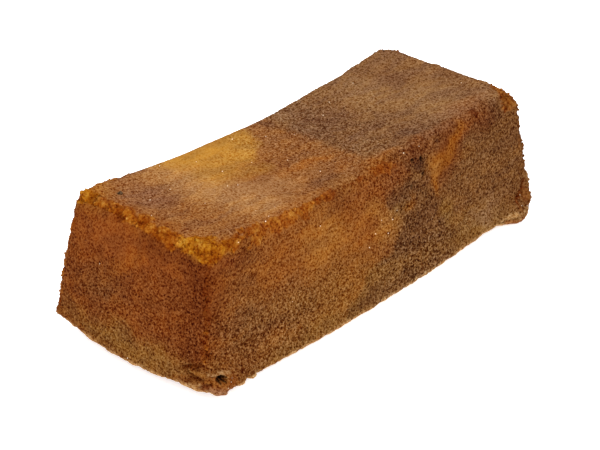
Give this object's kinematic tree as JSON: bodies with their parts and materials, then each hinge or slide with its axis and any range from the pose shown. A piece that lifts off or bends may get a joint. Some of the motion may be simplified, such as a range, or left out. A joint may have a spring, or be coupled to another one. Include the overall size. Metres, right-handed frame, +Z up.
{
  "type": "marble loaf cake",
  "caption": "Whole marble loaf cake turned out of its tin, with a sagging top, widening sides, crumbly edges and overflow lips at lower corners.",
  "frame": {"origin": "on the surface the cake stands on, at the middle of its outline seen from above", "axes": "+X along the cake's length towards its lower end, +Y across its width, +Z up, away from the surface it stands on"},
  "size_m": [0.203, 0.0872, 0.0582],
  "materials": {
    "cake_crust": "porous baked crumb, brown with golden marbling, slightly moist sheen"
  },
  "bodies": {
    "root": {"marble_cake": "cake_crust"}
  },
  "joints": []
}
